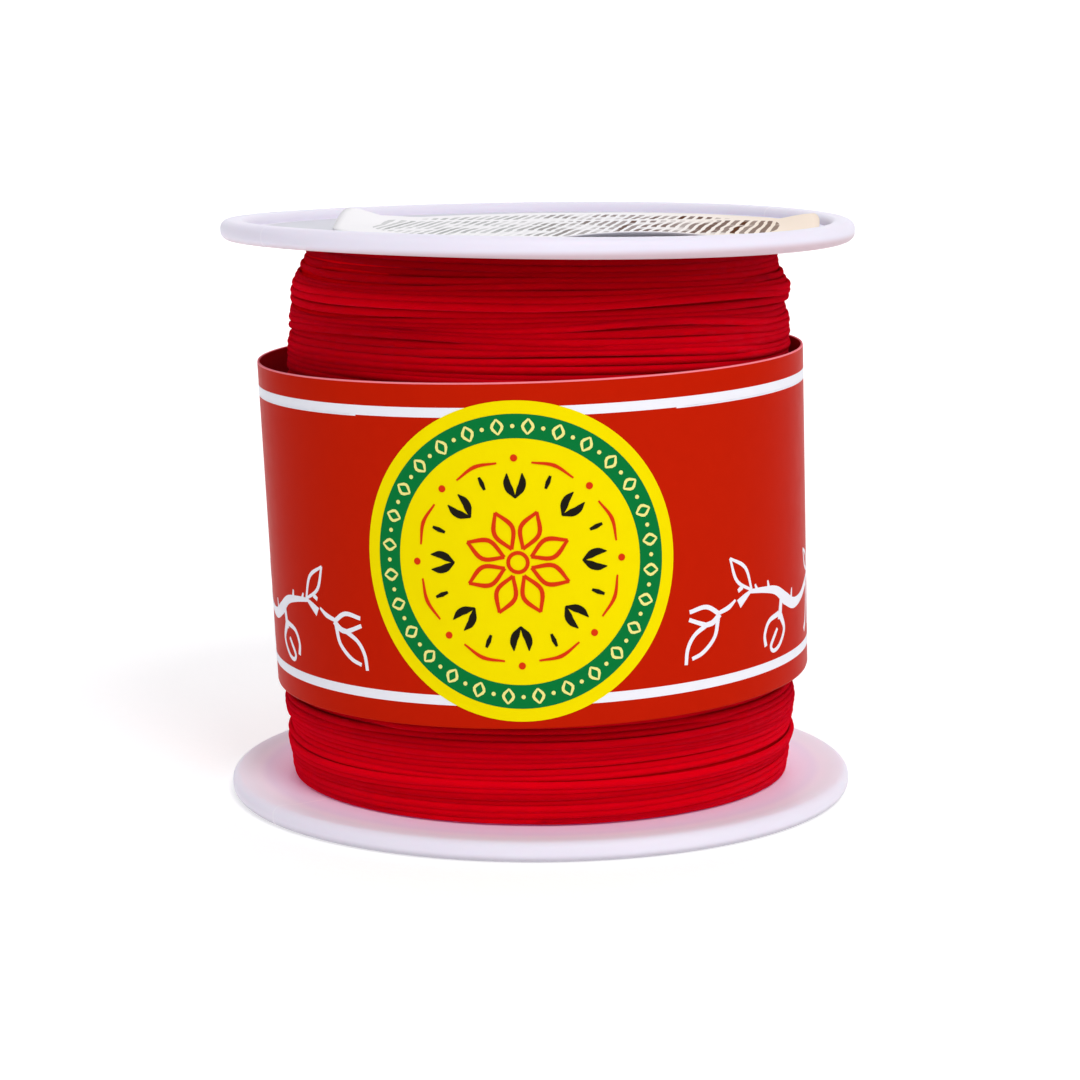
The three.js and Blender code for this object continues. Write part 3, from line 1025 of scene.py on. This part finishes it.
labelShape = {
    "radius": 30.5,
    "middle": (4.8, -3.0),
    "restsAt": 72.12,
    "thickness": 0.14,
    "rings": 30,
    "steps": 160,
    "curls": [
        {"angle": 0.24, "reach": 0.62, "lift": 1.35, "from": 0.8},
        {"angle": -1.85, "reach": 0.28, "lift": 1.65, "from": 0.78},
        {"angle": -2.08, "reach": 0.38, "lift": 0.6, "from": 0.76},
        {"angle": 1.66, "reach": 0.42, "lift": 1.4, "from": 0.74},
    ],
    "printedRadius": 25.5,
    "rowPitch": 34.0,        # mm from one row of bars to the next, front to back
    "rowStart": -24.0,       # where one row begins, measured from the axis
    "barPitch": 1.2,
    "slant": 0.15,
    "flutter": 0.03,
    "ripple": {"across": 0.42, "along": 0.35, "shift": 1.1},
}


def hatchedLabelPaper(shape):
    material, tree = newMaterial("label paper, hatched print")
    # Thin uncoated label stock: white, yellowed to cream towards the right. Its print is rows
    # of long slanting bars 1.2 mm apart, soft grey on the left and brown on the right, worn in spots.
    place = addNode(tree, "TexCoord").outputs["Object"]
    split = addNode(tree, "SeparateXYZ", None, {"Vector": place})
    x, y = split.outputs["X"], split.outputs["Y"]
    worn = addNode(tree, "TexNoise", None, {"Vector": place, "Scale": 1 / 0.007, "Detail": 2.0})
    across = addNode(tree, "Math", {"operation": "MULTIPLY_ADD"}, {0: y, 1: -shape["slant"], 2: x})
    pushed = addNode(tree, "Math", {"operation": "MULTIPLY_ADD"},
                     {0: worn.outputs["Fac"], 1: 0.001, 2: across.outputs[0]})
    bars = addNode(tree, "Math", {"operation": "DIVIDE"},
                   {0: pushed.outputs[0], 1: shape["barPitch"] * mm})
    # Rows are drawn five units tall, so that the gaps between them stay narrow.
    rowHeight = 5.0
    rows = addNode(tree, "Math", {"operation": "MULTIPLY_ADD"},
                   {0: y, 1: rowHeight / (shape["rowPitch"] * mm),
                    2: -shape["rowStart"] / shape["rowPitch"] * rowHeight})
    lined = addNode(tree, "CombineXYZ", None, {"X": bars.outputs[0], "Y": rows.outputs[0]})
    fade = addNode(tree, "MapRange", None, {"Value": x, "From Min": -0.004, "From Max": 0.012})
    ink = addNode(tree, "Mix", rgba, {0: fade.outputs["Result"], 6: "#B2B4B2", 7: "#5E3824"})
    age = addNode(tree, "MapRange", None, {"Value": x, "From Min": 0.012, "From Max": 0.031})
    paper = addNode(tree, "Mix", rgba, {0: age.outputs["Result"], 6: "#F9F8F9", 7: "#F9EAD9"})
    pale = addNode(tree, "Mix", rgba, {0: 0.55, 6: paper.outputs[2], 7: ink.outputs[2]})
    printed = addNode(tree, "TexBrick", {"offset": 0.5},
                      {"Vector": lined.outputs["Vector"], "Scale": 1.0, "Mortar Size": 0.25,
                       "Mortar Smooth": 0.25, "Brick Width": 1.0, "Row Height": rowHeight,
                       "Color1": ink.outputs[2], "Color2": pale.outputs[2], "Mortar": paper.outputs[2]})
    middle = (shape["middle"][0] * mm, shape["middle"][1] * mm, shape["restsAt"] * mm)
    away = addNode(tree, "VectorMath", {"operation": "DISTANCE"}, {0: place, 1: middle})
    inside = addNode(tree, "Math", {"operation": "LESS_THAN"},
                     {0: away.outputs["Value"], 1: shape["printedRadius"] * mm})
    wear = addNode(tree, "MapRange", None,
                   {"Value": worn.outputs["Fac"], "From Min": 0.38, "From Max": 0.5, "To Min": 0.15})
    strength = addNode(tree, "Math", {"operation": "MULTIPLY"},
                       {0: wear.outputs["Result"], 1: inside.outputs[0]})
    colour = addNode(tree, "Mix", rgba,
                     {0: strength.outputs[0], 6: paper.outputs[2], 7: printed.outputs["Color"]})
    fibre = addNode(tree, "TexNoise", None, {"Vector": place, "Scale": 1 / 0.0005, "Detail": 3.0})
    relief = addNode(tree, "Bump", None,
                     {"Height": fibre.outputs["Fac"], "Strength": 0.15, "Distance": 0.00005})
    finishMaterial(tree, {"Base Color": colour.outputs[2], "Roughness": 0.55, "IOR": 1.5,
                          "Specular IOR Level": 0.0, "Normal": relief.outputs["Normal"]})
    return material


def buildLabel(shape):
    outline = [(shape["radius"] * ring / shape["rings"], 0) for ring in range(shape["rings"] + 1)]
    mesh = spinOutline(outline, shape["steps"], closed=False)
    if sum(face.normal.z for face in mesh.faces) < 0:
        bmesh.ops.reverse_faces(mesh, faces=mesh.faces)
    ripple = shape["ripple"]
    for vert in mesh.verts:
        angle = math.atan2(vert.co.x, -vert.co.y)
        share = math.hypot(vert.co.x, vert.co.y) / shape["radius"]
        wave = (math.sin(ripple["across"] * vert.co.x + ripple["shift"])
                * math.sin(ripple["along"] * vert.co.y) * share)
        lift = shape["flutter"] * (wave + 1)
        for curl in shape["curls"]:
            rise = smoothStep((share - curl["from"]) / (1 - curl["from"]))
            lift += curl["lift"] * hump(wrapAngle(angle - curl["angle"]), curl["reach"]) * rise
        vert.co.x += shape["middle"][0]
        vert.co.y += shape["middle"][1]
        vert.co.z = shape["restsAt"] + lift + flangeLean(vert.co.x, vert.co.y)
    piece = makePiece("paperLabel", mesh, [hatchedLabelPaper(shape)])
    wall = piece.modifiers.new("label thickness", "SOLIDIFY")
    wall.thickness = shape["thickness"] * mm
    wall.offset = 1
    return belongs(piece, "label_paper", "label")


buildLabel(labelShape)
print("label laid")
